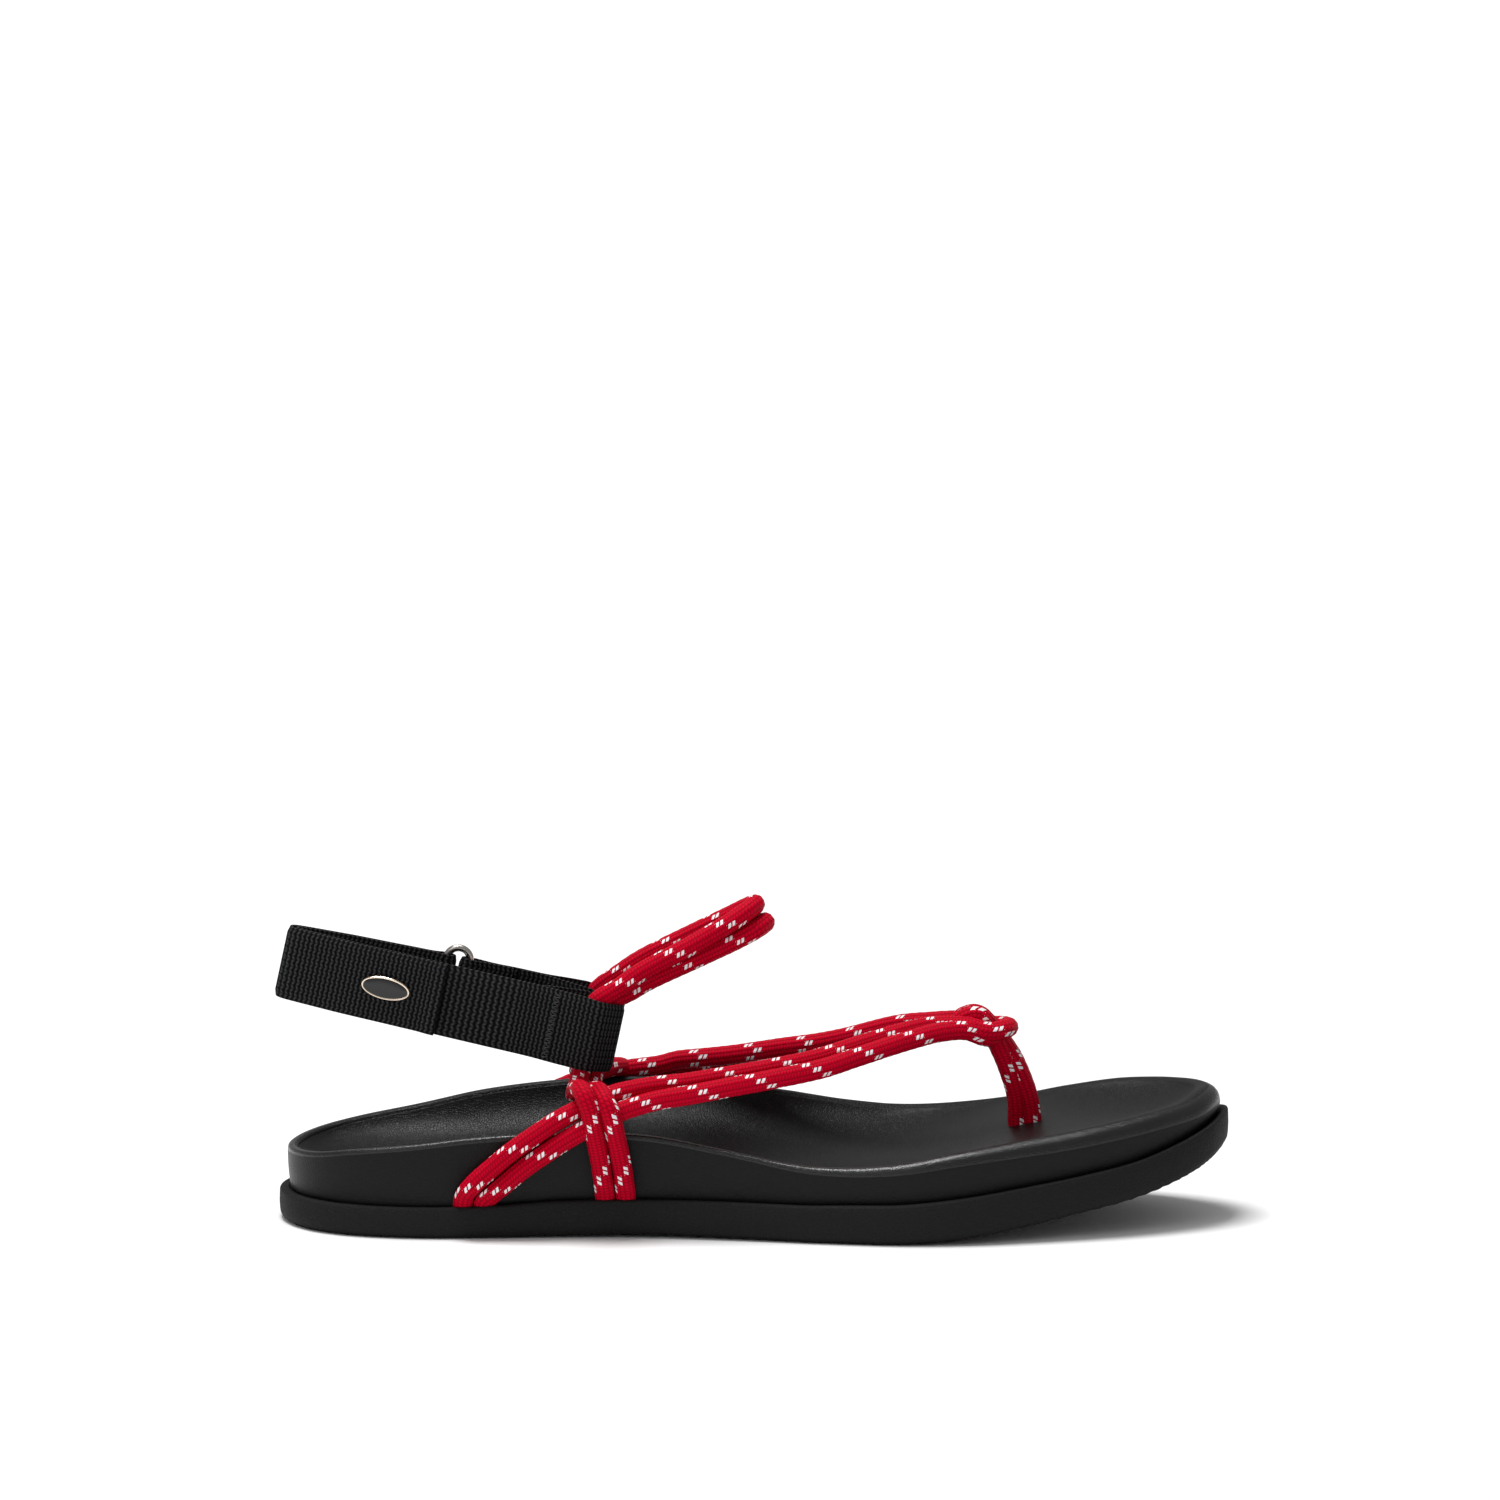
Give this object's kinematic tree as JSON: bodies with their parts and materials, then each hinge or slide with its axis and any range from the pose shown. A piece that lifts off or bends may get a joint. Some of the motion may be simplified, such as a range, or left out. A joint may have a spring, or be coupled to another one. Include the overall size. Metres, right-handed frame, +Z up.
{
  "type": "rope sandal",
  "caption": "Thong sandal with a braided rope upper, a webbing heel strap closed through a ring, a leather-wrapped contoured footbed and a moulded rubber outsole.",
  "frame": {"origin": "on the floor under the middle of the sandal's bounding box", "axes": "+X to the toe, +Y to the inner (big toe) side, +Z up"},
  "size_m": [0.2591, 0.0854, 0.0882],
  "materials": {
    "rubber": "matt, fine pebble",
    "leather": "smooth, soft sheen",
    "rope": "braided, white tracer",
    "webbing": "ribbed webbing",
    "steel": "polished wire",
    "enamel": "gloss face with a thin metal rim"
  },
  "bodies": {
    "root": {"outsole": "rubber", "footbed": "leather", "rope_upper": "rope", "heel_strap": "webbing", "ring_tab": "webbing", "ring": "steel", "badge": "enamel"}
  },
  "joints": []
}
